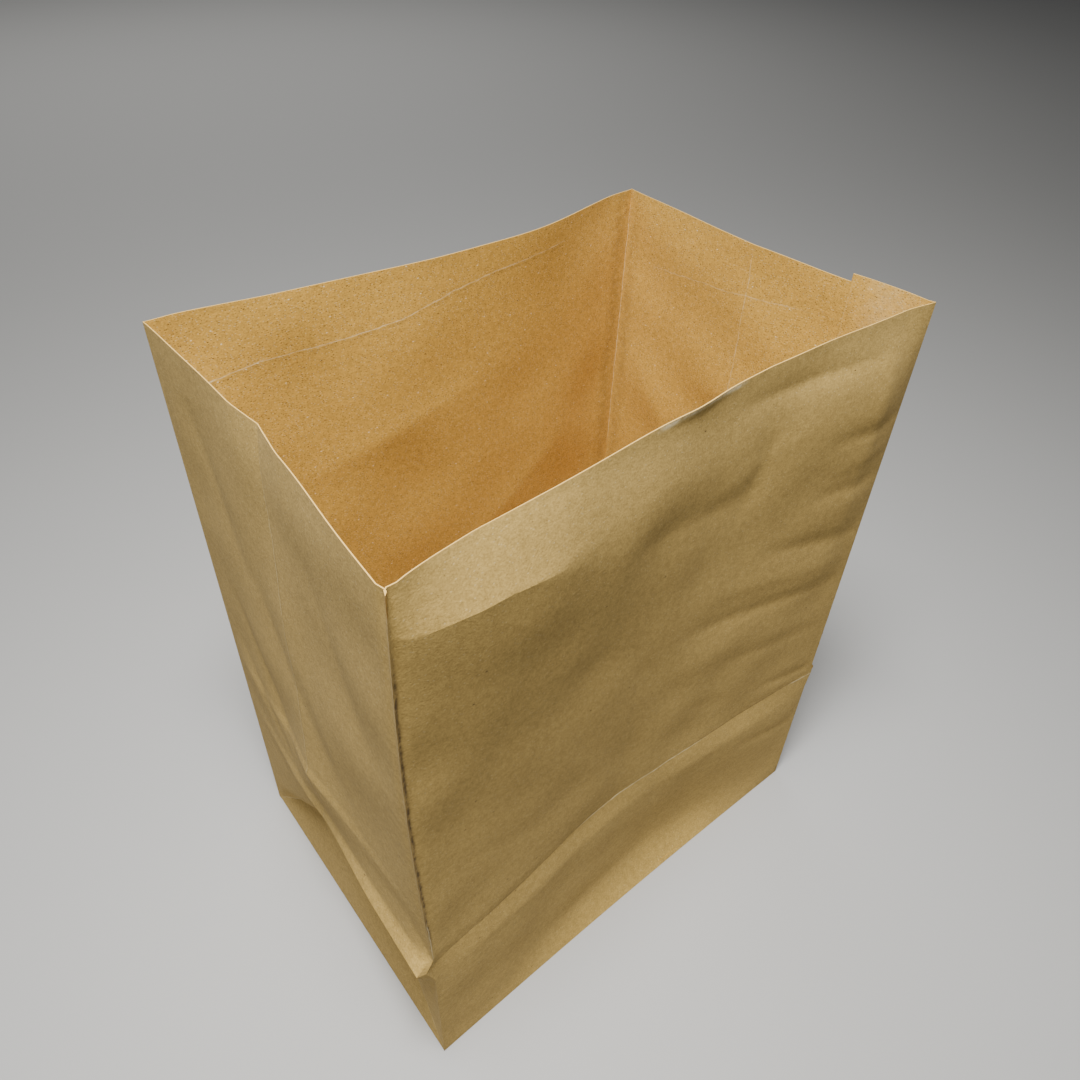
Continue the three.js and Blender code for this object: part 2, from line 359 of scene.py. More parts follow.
# Furrows of handling, as wrinkles() takes them: most run down from the seam's corner
FRONT_FURROWS = [
    (147, 308, 238, 304, 1.0, 5), (205, 271, 264, 267, 1.0, 3.2), (212, 256, 262, 254, -0.6, 3),
    (206, 243, 262, 236, 0.9, 3.2), (180, 224, 262, 202, 1.1, 3.6), (150, 214, 250, 190, -0.5, 4),
    (140, 198, 262, 172, 1.0, 2.8), (205, 116, 266, 102, 1.0, 3), (168, 160, 256, 140, 0.8, 4.5),
    (96, 274, 176, 262, 0.7, 6), (100, 220, 150, 150, 0.8, 12), (40, 240, 120, 210, 0.7, 12),
    (200, 70, 262, 56, 1.0, 3), (120, 266, 200, 285, -0.4, 6), (60, 190, 110, 120, -0.6, 8),
    (150, 140, 190, 120, 0.5, 4), (20, 160, 70, 130, 0.5, 8), (160, 250, 175, 290, 0.6, 5),
]


# The torn bit of the front rim: its place from the left edge, half its length, how deep
# the tear is, and how far it curls out
TORN_PLACE = 128
TORN_REACH = 12
TORN_DEPTH = 4
TORN_CURL = 1.0


def front_push(a, h, plan):
    """How far the front wall stands in, a from the left edge."""
    # The lip's fold is crisp beside the near corner and grows soft away from it.
    reach = smooth(a, 45, 95, 0, 9) * smooth(h, 250, 275)
    value = sum(front_profile(a, h + shift * reach, plan) for shift in (-1, -0.5, 0, 0.5, 1)) / 5
    curl = TORN_CURL * hump(a, TORN_PLACE, TORN_REACH)
    value = value - curl * smooth(h, plan.height - TORN_DEPTH, plan.height)
    soft = wrinkles(a, h, FRONT_FURROWS) + cockle(a, h, 5, 0.35, 60)
    return value + soft * quiet_at_edges(a, plan.width, 8) * smooth(h, 0, 15)


def corner_pinch(a, h, plan):
    """The near corner's fold was pressed sharp, so it stands out as a narrow crest."""
    beside = share_between(a, 0, PINCH_TOP) * share_between(a, plan.pinch, PINCH_TOP)
    along = 0.9 * smooth(h, plan.crease + 4, plan.crease + 30) + 0.8 * smooth(h, 304, 318)
    return beside * along


# The handling crease across the back wall: from the left edge, and its height
BACK_CREASE = ((0, 284), (19, 288), (40, 291.5), (67, 292), (105, 295), (130, 301.5),
               (159, 306), (199, 308), (254, 314))


# How far the back rim stands in: the place from the left edge, and the push
BACK_RIM_PUSH = ((0, 0), (25, 2.2), (57, 6.3), (90, 11.2), (118, 13.8), (142, 15.0),
                 (166, 14.6), (188, 12.4), (205, 9.6), (222, 5.8), (238, 2.0), (254, 0))

BACK_FURROWS = [(40, 220, 150, 250, 1.5, 16), (120, 120, 220, 200, 1.6, 20)]


def back_push(a, h, plan):
    """How far the back wall stands in, a from the left edge."""
    rim = curve(a, BACK_RIM_PUSH)
    line = through(a, BACK_CREASE)
    at_line = 0.95 * rim
    value = at_line * share_between(h, 0, line)
    value = value + (rim - at_line) * share_between(h, line, plan.height)
    soft = wrinkles(a, h, BACK_FURROWS)
    return value + (soft + cockle(a, h, 8, 0.5, 70)) * quiet_at_edges(a, plan.width)


# Depth of the valley folds where they meet, 87 mm up
VALLEY_PUSH = 9.5

# The mountain fold starts from the valley, except this near the front edge, where it keeps
# to the edge's own kick. Behind the centre crease it dips to this far above the valley.
NEAR_EDGE = 14
FOLD_OVER_VALLEY = 11

# How far above the mountain fold the gusset takes on its own belly
BELLY_BAND = 26

# How far the middle of a gusset stands in on the way up: it bellies out above the crease.
# From BELLY_TOP on, it is scaled to each gusset's own pull at the rim.
GUSSET_MIDDLE = ((0, -4.5), (139, -4.0), (198, 0.0), (253, 3.4), (288, 4.8), (320, 6))
BELLY_TOP = 139
RIM_PULL = {"left": 4.2, "right": 5}
GUSSET_KICK = {"left": EDGE_KICK, "right": 4.0}
GUSSET_SEED = {"left": 15, "right": 16}


def gusset_push(a, h, plan, side):
    """How far a gusset stands in, a from its front edge.

    Two diagonal valleys run from the bottom corners to the apex on the centre crease, and
    a mountain fold crosses above them at the crease height."""
    half = plan.depth / 2
    tent = 1 - np.abs(2 * a / plan.depth - 1)
    diagonal = half * tent
    valley = VALLEY_PUSH * np.sin(tent * math.pi / 2)
    floor_fold = valley * np.clip(h / np.maximum(diagonal, 0.5), 0, 1)
    near = np.clip(1 - a / NEAR_EDGE, 0, 1)
    ridge = -GUSSET_KICK[side] * (1 - 0.15 * a / plan.depth - 0.5 * smooth(a, 35, 85)
                                  - 0.35 * smooth(a, 110, plan.depth))
    ridge = np.where(a < 0.01, 0, ridge)
    foot = diagonal + (plan.crease - KICK_BELOW - diagonal) * near
    dip = np.minimum(plan.crease, diagonal + FOLD_OVER_VALLEY)
    top = np.where(a > half, dip, plan.crease)
    rise = valley + (ridge - valley) * share_between(h, foot, top)
    band = BELLY_BAND - (BELLY_BAND - KICK_ABOVE) * near
    tall = through(h, GUSSET_MIDDLE)
    scaled = tall * RIM_PULL[side] / GUSSET_MIDDLE[-1][1]
    tall = np.where(h > BELLY_TOP, scaled, tall) * tent
    above = ridge + (tall - ridge) * share_between(h, top, top + band)
    value = np.where(h <= diagonal, floor_fold, np.where(h <= top, rise, above))
    soft = cockle(a, h, GUSSET_SEED[side], 0.45, 55) * quiet_at_edges(a, plan.depth)
    return value + soft * smooth(h, plan.crease, plan.crease + 40)


# The left gusset's centre crease: its push by height, and how far it reaches to each side
CENTRE_FOLD = ((115, 0), (140, -1.0), (235, -1.0), (290, 0.6), (320, 1.8))
CENTRE_FOLD_REACH = 17


def centre_fold(a, h, plan):
    """The left gusset's centre crease: a low mountain fold that turns to a valley at the
    rim."""
    beside = np.clip(1 - np.abs(a - plan.depth / 2) / CENTRE_FOLD_REACH, 0, 1)
    return beside * through(h, CENTRE_FOLD)


RIGHT_FURROWS = [(20, 262, 120, 230, 1.2, 14), (100, 150, 160, 240, 1.2, 16)]

LEFT_FURROWS = [
    (150, 200, 100, 118, 1.3, 6), (160, 160, 108, 104, 1.0, 5), (120, 240, 64, 160, 0.9, 9),
    (84, 220, 34, 140, -0.8, 10), (62, 290, 20, 210, 0.7, 9), (150, 300, 120, 220, 0.9, 8),
]


def panel_points(plan, names, share, push, h):
    """Points of a wall between two upright edges, at a share of its width."""
    (xa, ya), (xb, yb) = (edge_place(name, h, plan) for name in names)
    x = xa + (xb - xa) * share
    y = ya + (yb - ya) * share
    run = np.hypot(xb - xa, yb - ya)
    inward_x = -(yb - ya) / run
    inward_y = (xb - xa) / run
    return np.column_stack([x + inward_x * push, y + inward_y * push, h])


def skew(h, plan):
    """How much of the rim's rise a height takes up."""
    return SKEW_RISE * smooth(h, plan.crease, plan.height)


def fold(flat, plan):
    """The folded place of each point of the flat web."""
    s = flat[:, 0]
    h = flat[:, 1]
    up = np.maximum(h, 0)
    out = np.zeros((len(s), 3))
    pieces = (
        ("right", s <= plan.s_b),
        ("back", (s > plan.s_b) & (s <= plan.s_a)),
        ("left", (s > plan.s_a) & (s <= plan.s_d)),
        ("front", (s > plan.s_d) & (s <= plan.s_c)),
        ("strip", s > plan.s_c),
    )
    for name, mask in pieces:
        out[mask] = fold_wall(name, s[mask], up[mask], plan)
    return fold_bottom(out, s, h, plan)


# The glue between the seam's plies
GLUE = 0.15


def fold_wall(name, s, h, plan):
    """The walls, on the middle of the paper."""
    half = plan.paper / 2
    if name == "right":
        a = s + plan.gap
        soft = wrinkles(a, h, RIGHT_FURROWS) * quiet_at_edges(a, plan.depth)
        push = gusset_push(a, h, plan, "right") + half + soft
        return panel_points(plan, "CB", a / plan.depth, push, h)
    if name == "back":
        a = plan.width - (s - plan.s_b)
        push = back_push(a, h, plan) + half
        return panel_points(plan, "BA", 1 - a / plan.width, push, h)
    if name == "left":
        a = plan.depth - (s - plan.s_a)
        push = gusset_push(a, h, plan, "left") + centre_fold(a, h, plan) + half
        push = push + wrinkles(a, h, LEFT_FURROWS) * quiet_at_edges(a, plan.depth, 8)
        push = push + 0.7 * corner_pinch(a, h, plan)
        return panel_points(plan, "AD", 1 - a / plan.depth, push, h)
    if name == "front":
        a = s - plan.s_d
        push = front_push(a, h, plan) + corner_pinch(a, h, plan) + half
        rise = skew(h, plan) * a / plan.width
        return panel_points(plan, "DC", a / plan.width, push, h) + upwards(rise)
    a = s - plan.s_c
    # The strip lies on the inner face of the right gusset, and comes loose at the top.
    push = gusset_push(a, h, plan, "right") + 3 * half + GLUE
    push = push + 0.5 * smooth(a, plan.seam - 8, plan.seam) * smooth(h, 200, plan.height)
    return panel_points(plan, "CB", a / plan.depth, push, h) + upwards(skew(h, plan))


def upwards(rise):
    """Rises as shifts along Z."""
    return np.column_stack([0 * rise, 0 * rise, rise])


# The layers of the bottom lie this far apart, and the folded ones keep this far inside the
# long walls, both in thicknesses of the paper
LAYER_PITCH = 1.1
WALL_CLEARANCE = 3


def fold_bottom(out, s, h, plan):
    """Lays what hangs below the walls on the floor: the gusset ends first, then the back
    flap and the front flap, with the paper of the corners folded back at 45 degrees.

    The front flap is the lowest layer and the gusset ends are the fourth. Halves are the
    middles of the layers."""
    down = np.maximum(-h, 0)
    below = h < 0
    wide = ((s > plan.s_b) & (s < plan.s_a)) | ((s > plan.s_d) & (s < plan.s_c))
    front = s > plan.s_d
    layer = plan.paper * LAYER_PITCH
    from_b = np.where(front, plan.s_c - s, s - plan.s_b)
    from_a = np.where(front, s - plan.s_d, plan.s_a - s)
    near = np.minimum(from_a, from_b)
    right_side = from_b < from_a
    corner = wide & (down > near)
    sign = np.where(front, 1, -1)
    side = np.where(right_side, -1, 1)
    flat_front = np.where(front, 0.5, 1.5)
    flat_corner = np.where(front, 1.5, 2.5)
    long_flap = below & wide & ~corner
    out[:, 1] += np.where(long_flap, sign * down, 0)
    out[:, 2] = np.where(long_flap, layer * flat_front, out[:, 2])
    folded = below & corner
    shift_x = side * (down - near)
    out[:, 0] += np.where(folded, shift_x, 0)
    out[:, 1] += np.where(folded, sign * near, 0)
    out[:, 2] = np.where(folded, layer * flat_corner, out[:, 2])
    gusset = below & ~wide
    inward = np.where((s <= plan.s_b) | (s >= plan.s_c), -1, 1)
    out[:, 0] += np.where(gusset, inward * down, 0)
    out[:, 2] = np.where(gusset, layer * 3.5, out[:, 2])
    foot = (np.abs(h) < 1e-6)
    out[:, 2] = np.where(foot & wide, layer * 0.5, out[:, 2])
    out[:, 2] = np.where(foot & ~wide, layer * 1.5, out[:, 2])
    inner = (folded | gusset) & below
    (x_left, y_front), (x_right, _) = EDGES["D"][0], EDGES["C"][0]
    across = np.clip((out[:, 0] - x_left) / (x_right - x_left), 0, 1)
    clearance = WALL_CLEARANCE * plan.paper
    nearest = y_front + FOOT_BOW * np.sin(np.pi * across) + clearance
    farthest = EDGES["B"][0][1] - clearance
    out[:, 1] = np.where(inner, np.clip(out[:, 1], nearest, farthest), out[:, 1])
    strip_flap = below & (s > plan.s_c)
    out[:, 2] += np.where(strip_flap, layer, 0)
    return out


# Mesh tools

def alone(obj):
    """Leaves one object selected and active."""
    bpy.ops.object.select_all(action="DESELECT")
    obj.select_set(True)
    bpy.context.view_layer.objects.active = obj


def coordinates(mesh):
    """The vertices' places, one row each."""
    values = np.zeros(len(mesh.vertices) * 3)
    mesh.vertices.foreach_get("co", values)
    return values.reshape(-1, 3)


def set_coordinates(mesh, values):
    """Moves the vertices to the places given."""
    mesh.vertices.foreach_set("co", values.ravel())
    mesh.update()


def flat_web(plan):
    """The flat blank, in metres on the XZ plane, with a row or column on each fold."""
    columns = plan.columns()
    rows = plan.rows()
    bpy.ops.object.select_all(action="DESELECT")
    bpy.ops.mesh.primitive_grid_add(
        x_subdivisions=len(columns) - 1, y_subdivisions=len(rows) - 1, size=2,
        rotation=(math.pi / 2, 0, 0),
    )
    web = bpy.context.object
    web.name = "kraft_sack"
    web.data.name = "kraft_sack"
    bpy.ops.object.transform_apply(location=True, rotation=True, scale=True)
    points = coordinates(web.data)
    i = np.rint((points[:, 0] + 1) / 2 * (len(columns) - 1)).astype(int)
    j = np.rint((points[:, 2] + 1) / 2 * (len(rows) - 1)).astype(int)
    points[:, 0] = columns[i] * MM
    points[:, 1] = 0
    points[:, 2] = rows[j] * MM
    set_coordinates(web.data, points)
    return web


def cut_fold(web, start, end):
    """Cuts one slanting fold into the flat web, within the fold's own box."""
    low = np.minimum(start, end) * MM
    high = np.maximum(start, end) * MM
    mesh = web.data
    centres = np.zeros(len(mesh.polygons) * 3)
    mesh.polygons.foreach_get("center", centres)
    centres = centres.reshape(-1, 3)[:, [0, 2]]
    inside = ((centres > low) & (centres < high)).all(axis=1)
    mesh.polygons.foreach_set("select", inside)
    mesh.vertices.foreach_set("select", np.zeros(len(mesh.vertices), bool))
    mesh.edges.foreach_set("select", np.zeros(len(mesh.edges), bool))
    along = np.subtract(end, start)
    normal = Vector((-along[1], 0, along[0])).normalized()
    alone(web)
    bpy.ops.object.mode_set(mode="EDIT")
    bpy.ops.mesh.select_mode(type="FACE")
    bpy.ops.mesh.bisect(
        plane_co=(start[0] * MM, 0, start[1] * MM), plane_no=normal, threshold=1e-5,
    )
    bpy.ops.object.mode_set(mode="OBJECT")


# A gusset's mountain fold is crisp from its front edge to this far past the centre crease
CRISP_PAST_MIDDLE = 20


def mark_folds(web, plan):
    """Marks the edges that lie on a fold sharp, and keeps the flat web as its UV map."""
    mesh = web.data
    flat = coordinates(mesh)[:, [0, 2]] / MM
    ends = np.zeros(len(mesh.edges) * 2, int)
    mesh.edges.foreach_get("vertices", ends)
    first, second = flat[ends[0::2]], flat[ends[1::2]]
    top = plan.height
    lines = [((s, -plan.flap), (s, top)) for s in (plan.s_b, plan.s_a, plan.s_d, plan.s_c)]
    lines += [((s, plan.depth / 2), (s, top)) for s in (plan.s_right_middle, plan.s_left_middle)]
    lines += [((0, 0), (plan.s_end, 0)), ((plan.s_d, plan.crease), (plan.s_c, plan.crease))]
    lines += [((plan.s_left_middle - CRISP_PAST_MIDDLE, plan.crease), (plan.s_d, plan.crease)),
              ((0, plan.crease), (plan.s_right_middle + CRISP_PAST_MIDDLE, plan.crease))]
    lines += plan.fold_lines()
    sharp = np.zeros(len(mesh.edges), bool)
    for start, end in lines:
        sharp |= on_line(first, start, end) & on_line(second, start, end)
    mesh.edges.foreach_set("use_edge_sharp", sharp)
    layer = mesh.uv_layers[0]
    corners = np.zeros(len(mesh.loops), int)
    mesh.loops.foreach_get("vertex_index", corners)
    layer.name = "web_metres"
    layer.data.foreach_set("uv", (flat[corners] * MM).ravel())


ON_LINE = 0.05


def on_line(points, start, end):
    """Which points lie on the segment, to that many millimetres."""
    start, end = np.array(start, float), np.array(end, float)
    size = np.hypot(*(end - start))
    along = (end - start) / size
    rel = points - start
    t = rel @ along
    off = np.abs(rel[:, 0] * along[1] - rel[:, 1] * along[0])
    return (off < ON_LINE) & (t > -ON_LINE) & (t < size + ON_LINE)


def apply_modifier(obj, kind, **settings):
    """Adds a modifier with its settings and applies it."""
    alone(obj)
    modifier = obj.modifiers.new(kind.lower(), kind)
    for name, value in settings.items():
        setattr(modifier, name, value)
    bpy.ops.object.modifier_apply(modifier=modifier.name)


# How far past the CAD model's box paper may reach: a share of each side, and more
BOX_SHARE = 0.03
BOX_SPARE = 10 * MM


def check_piece(piece):
    """Stops the script if the piece isn't closed or leaves the CAD model's box by more than
    paper may."""
    mesh = piece.data
    edges = np.zeros(len(mesh.loops), int)
    mesh.loops.foreach_get("edge_index", edges)
    if (np.bincount(edges, minlength=len(mesh.edges)) != 2).any():
        raise RuntimeError("%s isn't closed: an edge doesn't have two faces" % piece.name)
    places = coordinates(mesh)
    low, high = np.array(CAD_BOX)
    spare = BOX_SHARE * (high - low) + BOX_SPARE
    if (places.min(axis=0) < low - spare).any() or (places.max(axis=0) > high + spare).any():
        raise RuntimeError("%s leaves the CAD model's box" % piece.name)


# Materials

def add_node(tree, kind, settings=None, inputs=None):
    """Adds a node, sets its properties and links or sets its inputs."""
    node = tree.nodes.new(kind)
    for name, value in (settings or {}).items():
        setattr(node, name, value)
    for name, value in (inputs or {}).items():
        socket = node.inputs[name]
        if isinstance(value, bpy.types.NodeSocket):
            tree.links.new(value, socket)
        else:
            socket.default_value = value
    return node


def blank_material(name):
    """A new material with an empty node tree."""
    material = bpy.data.materials.new(name)
    material.use_nodes = True
    material.node_tree.nodes.clear()
    return material


# Sizes of the paper's patterns, in millimetres. Real fibres are 0.02 to 0.05 mm across, too
# fine to show, so the grain is drawn as coarse as a small bundle of them.
CLOUD_MM = 22
MOTTLE_MM = 3.2
GRAIN_MM = 0.9
FELT_DEPTH_MM = 0.2

# The colour of dense and of thin pulp, as shares of the paper's own colour
DENSE_PULP = (0.80, 0.78, 0.72)
THIN_PULP = 1.18


def kraft_material(name, base, specks, marks):
    """Unbleached recycled kraft: a matt, slightly felted brown sheet in which bark and
    bleached fibres show as short dark and pale specks, and the pulp clouds the colour."""
    material = blank_material(name)
    tree = material.node_tree
    web = add_node(tree, "ShaderNodeUVMap", {"uv_map": "web_metres"}).outputs["UV"]
    cloud = add_node(tree, "ShaderNodeTexNoise", inputs={
        "Vector": web, "Scale": per_metre(CLOUD_MM), "Detail": 3,
        "Roughness": 0.55}).outputs["Fac"]
    mottle = add_node(tree, "ShaderNodeTexNoise", inputs={
        "Vector": web, "Scale": per_metre(MOTTLE_MM), "Detail": 4,
        "Roughness": 0.6}).outputs["Fac"]
    fine = add_node(tree, "ShaderNodeTexNoise", inputs={
        "Vector": web, "Scale": per_metre(GRAIN_MM), "Detail": 3,
        "Roughness": 0.65}).outputs["Fac"]
    light = tuple(min(1, c * THIN_PULP) for c in base) + (1,)
    deep = tuple(c * share for c, share in zip(base, DENSE_PULP)) + (1,)
    # The noises stay near 0.5, so they are stretched until they span the two pulps.
    tone = add_node(tree, "ShaderNodeMath", {"operation": "MULTIPLY_ADD"},
                    {0: mottle, 1: 1.7, 2: -1.9}).outputs[0]
    tone = add_node(tree, "ShaderNodeMath", {"operation": "MULTIPLY_ADD"},
                    {0: fine, 1: 2.6, 2: tone}).outputs[0]
    tone = add_node(tree, "ShaderNodeMath", {"operation": "MULTIPLY_ADD"},
                    {0: cloud, 1: 0.5, 2: tone}).outputs[0]
    shade = add_node(tree, "ShaderNodeMix", {"data_type": "RGBA"},
                     {"Factor": tone, 6: deep, 7: light}).outputs[2]
    for spec in specks:
        shade = add_specks(tree, web, shade, spec)
    # Worn fold lines go on, and painted shade beside some folds and in the inside's far corner.
    shade = add_wear_and_shade_lines(tree, web, shade, marks)
    rough = add_node(tree, "ShaderNodeMapRange", inputs={
        "Value": fine, "To Min": 0.86, "To Max": 1.0}).outputs["Result"]
    height = add_node(tree, "ShaderNodeMath", {"operation": "MULTIPLY_ADD"},
                      {0: mottle, 1: 0.35, 2: fine}).outputs[0]
    bump = add_node(tree, "ShaderNodeBump", inputs={
        "Strength": 0.6, "Distance": FELT_DEPTH_MM * MM, "Height": height}).outputs["Normal"]
    shader = add_node(tree, "ShaderNodeBsdfPrincipled", inputs={
        "Base Color": shade, "Roughness": rough, "Normal": bump, "IOR": 1.47,
        "Specular IOR Level": 0.15, "Sheen Weight": 0.03, "Sheen Roughness": 0.6})
    add_node(tree, "ShaderNodeOutputMaterial", inputs={"Surface": shader.outputs["BSDF"]})
    return material


def per_metre(millimetres):
    """The scale of a pattern whose features are this far apart."""
    return 1 / (millimetres * MM)


def outside_specks(colours):
    """Each kind of speck: its cell in mm, how many cells hold none, its radius as a share
    of the cell, how far it is stretched, its colour and how strongly it shows."""
    dark, pale = tuple(colours.dark), tuple(colours.pale)
    return [(3.2, 0.86, 0.055, 2.0, dark, 0.5), (2.2, 0.84, 0.11, 1.6, pale, 0.2),
            (30.0, 0.88, 0.012, 2.2, dark, 0.9)]


def inside_specks(colours):
    """As outside_specks, for the rougher inner face, where far more fibres show."""
    dark, pale = tuple(colours.dark), tuple(colours.pale)
    return [(1.7, 0.66, 0.12, 1.9, dark, 0.7), (1.5, 0.72, 0.15, 1.5, pale, 0.3),
            (6.5, 0.74, 0.038, 2.0, dark, 0.95), (11.0, 0.82, 0.026, 1.6, pale, 0.9)]


def outside_wear_and_shade_marks(plan, colours):
    """Worn folds on the outer face, and painted shade beside some folds and in a notch, as (s1,
    h1, s2, h2, half width, colour, strength).
    """
    dark, pale, cut = tuple(colours.dark), tuple(colours.pale), tuple(colours.cut)
    d, crease, top = plan.s_d, plan.crease, plan.height
    return [
        # Painted shadow: a dark line in the groove just beside the near corner's crest, on top of
        # the groove's own shading.
        (d + 1.1, 104, d + 1.1, 306, 1.4, dark, 0.9),
        (d + 0.3, 103, d + 0.9, 138, 0.5, pale, 0.8),
        (d - 0.8, 100, d - 0.8, top, 0.6, pale, 0.15),
        # Painted shade: darker just above the level crease, on its left part.
        (d + 2, crease + 0.6, d + 120, crease + 0.6, 0.9, dark, 0.35),
        (d + 88, crease - 0.3, d + 176, crease - 0.3, 0.6, pale, 0.75),
        # Painted shade: darker just above the level crease, on its right part.
        (d + 160, crease + 0.5, d + 246, crease + 0.5, 0.8, dark, 0.45),
        (d + 236, crease - 0.4, d + 255, crease - 1.5, 0.7, pale, 0.8),
        # Painted shade: a short dark line where a small notch at the bottom corner would fall
        # into shade.
        (d + 252.6, -2, d + 252.6, 9, 0.7, dark, 0.7),
        (plan.s_left_middle, 80, plan.s_left_middle, top, 0.5, pale, 0.3),
        # Painted shade: a dark line on one side of the left gusset's centre crease.
        (plan.s_left_middle + 0.8, 80, plan.s_left_middle + 0.8, top, 0.7, dark, 0.25),
        (d, 0, plan.s_left_middle, plan.depth / 2, 0.6, pale, 0.4),
        (plan.s_a, 0, plan.s_left_middle, plan.depth / 2, 0.6, pale, 0.4),
        (d + 104, top - 0.9, d + 154, top - 0.5, 1.9, pale, 0.85),
        (-10, top, plan.s_end + 10, top, 0.45, cut, 0.5),
    ]


def inside_wear_and_shade_marks(plan, colours):
    """As outside_wear_and_shade_marks, for the inner face: worn creases, and painted shade in the
    far corner and under the back crease.
    """
    dark, pale, cut = tuple(colours.dark), tuple(colours.pale), tuple(colours.cut)
    top = plan.height
    marks = [
        (plan.s_right_middle, 225, plan.s_right_middle, top, 0.5, pale, 0.4),
        (46, 300, 156, 285, 0.5, pale, 0.35),
        (plan.s_b, 150, plan.s_b, top, 0.6, pale, 0.6),
        # Painted shade: broad dark bands on both sides of the inside corner B, where the corner
        # is in shade.
        (plan.s_b + 7, 100, plan.s_b + 7, top + 20, 8, dark, 0.3),
        (plan.s_b - 6, 100, plan.s_b - 6, top + 10, 7, dark, 0.26),
        (plan.s_end - 0.6, 240, plan.s_end - 0.6, top + 4, 0.6, cut, 0.5),
        (plan.s_c + 18, 100, plan.s_c + 18, top + 60, 19, pale, 0.18),
        (-10, top, plan.s_end + 10, top, 0.3, cut, 0.4),
    ]
    for (a1, h1), (a2, h2) in zip(BACK_CREASE, BACK_CREASE[1:-1]):
        s1, s2 = plan.s_a - a1 + 4, plan.s_a - a2 - 4
        marks.append((s1, h1 - 0.5, s2, h2 + 0.5, 0.45, pale, 0.55))
        # Painted shade: a soft dark line just under the back wall's crease.
        marks.append((s1, h1 - 1.9, s2, h2 - 0.9, 1.2, dark, 0.2))
    return marks


# Worn lines and painted shade lines sway this far, over waves this long, and break off about this
# often
SWAY_REACH = 2.2 * MM
SWAY_MM = 11
BREAKS_MM = 4


def add_wear_and_shade_lines(tree, web, shade, marks):
    """Thin lines along folds, a little wavy and broken: rubbed or dirty fibre, and painted shade
    beside some folds and in a corner. The line that starts short of the web is the cut rim's,
    which is straight and whole."""
    sway = add_node(tree, "ShaderNodeTexNoise", inputs={
        "Vector": web, "Scale": per_metre(SWAY_MM), "Detail": 2}).outputs["Color"]
    sway = add_node(tree, "ShaderNodeVectorMath", {"operation": "SUBTRACT"},
                    {0: sway, 1: (0.5, 0.5, 0.5)}).outputs[0]
    sway = add_node(tree, "ShaderNodeVectorMath", {"operation": "MULTIPLY_ADD"},
                    {0: sway, 1: (SWAY_REACH, SWAY_REACH, 0), 2: web}).outputs[0]
    breaks = add_node(tree, "ShaderNodeTexNoise", inputs={
        "Vector": web, "Scale": per_metre(BREAKS_MM), "Detail": 4,
        "Roughness": 0.7}).outputs["Fac"]
    breaks = add_node(tree, "ShaderNodeMapRange", inputs={
        "Value": breaks, "From Min": 0.36, "From Max": 0.58, "To Min": 0.15}).outputs["Result"]
    for s1, h1, s2, h2, wide, tint, strength in marks:
        size = math.hypot(s2 - s1, h2 - h1)
        straight = s1 < 0
        placed = add_node(tree, "ShaderNodeMapping", {"vector_type": "TEXTURE"}, {
            "Vector": web if straight else sway, "Location": (s1 * MM, h1 * MM, 0),
            "Rotation": (0, 0, math.atan2(h2 - h1, s2 - s1)),
            "Scale": (size * MM, wide * MM, 1)}).outputs["Vector"]
        parts = add_node(tree, "ShaderNodeSeparateXYZ", inputs={"Vector": placed})
        along = add_node(tree, "ShaderNodeMath", {"operation": "PINGPONG"},
                         {0: parts.outputs["X"], 1: 0.5}).outputs[0]
        inside = add_node(tree, "ShaderNodeMath", {"operation": "COMPARE"},
                          {0: parts.outputs["X"], 1: 0.5, 2: 0.5}).outputs[0]
        ends = add_node(tree, "ShaderNodeMapRange", {"interpolation_type": "SMOOTHSTEP"}, {
            "Value": along, "From Max": 0.15, "To Max": strength}).outputs["Result"]
        off = add_node(tree, "ShaderNodeMath", {"operation": "ABSOLUTE"},
                       {0: parts.outputs["Y"]}).outputs[0]
        line = add_node(tree, "ShaderNodeMapRange", {"interpolation_type": "SMOOTHSTEP"}, {
            "Value": off, "To Min": 1.0, "To Max": 0.0}).outputs["Result"]
        mask = add_node(tree, "ShaderNodeMath", {"operation": "MULTIPLY"},
                        {0: line, 1: ends}).outputs[0]
        mask = add_node(tree, "ShaderNodeMath", {"operation": "MULTIPLY"},
                        {0: mask, 1: inside}).outputs[0]
        if not straight:
            mask = add_node(tree, "ShaderNodeMath", {"operation": "MULTIPLY"},
                            {0: mask, 1: breaks}).outputs[0]
        shade = add_node(tree, "ShaderNodeMix", {"data_type": "RGBA"},
                         {"Factor": mask, 6: shade, 7: tint + (1,)}).outputs[2]
    return shade


def add_specks(tree, web, shade, spec):
    """One kind of fleck, scattered one to a cell, in some of the cells."""
    cell, rare, radius, stretch, fleck, strength = spec
    turned = add_node(tree, "ShaderNodeMapping", inputs={
        "Vector": web, "Rotation": (0, 0, 0.3 + cell),
        "Scale": (per_metre(cell), stretch * per_metre(cell), 1)}).outputs["Vector"]
    cells = add_node(tree, "ShaderNodeTexVoronoi", {"voronoi_dimensions": "2D"},
                     {"Vector": turned, "Scale": 1.0})
    near = add_node(tree, "ShaderNodeMapRange", {"interpolation_type": "SMOOTHSTEP"}, {
        "Value": cells.outputs["Distance"], "From Min": radius, "From Max": radius * 1.9,
        "To Min": 1.0, "To Max": 0.0}).outputs["Result"]
    chosen = add_node(tree, "ShaderNodeSeparateColor", inputs={
        "Color": cells.outputs["Color"]}).outputs["Red"]
    kept = add_node(tree, "ShaderNodeMath", {"operation": "GREATER_THAN"},
                    {0: chosen, 1: rare}).outputs[0]
    mask = add_node(tree, "ShaderNodeMath", {"operation": "MULTIPLY"},
                    {0: near, 1: kept}).outputs[0]
    mask = add_node(tree, "ShaderNodeMath", {"operation": "MULTIPLY"},
                    {0: mask, 1: strength}).outputs[0]
    mixed = add_node(tree, "ShaderNodeMix", {"data_type": "RGBA"},
                     {"Factor": mask, 6: shade, 7: fleck + (1,)})
    return mixed.outputs[2]


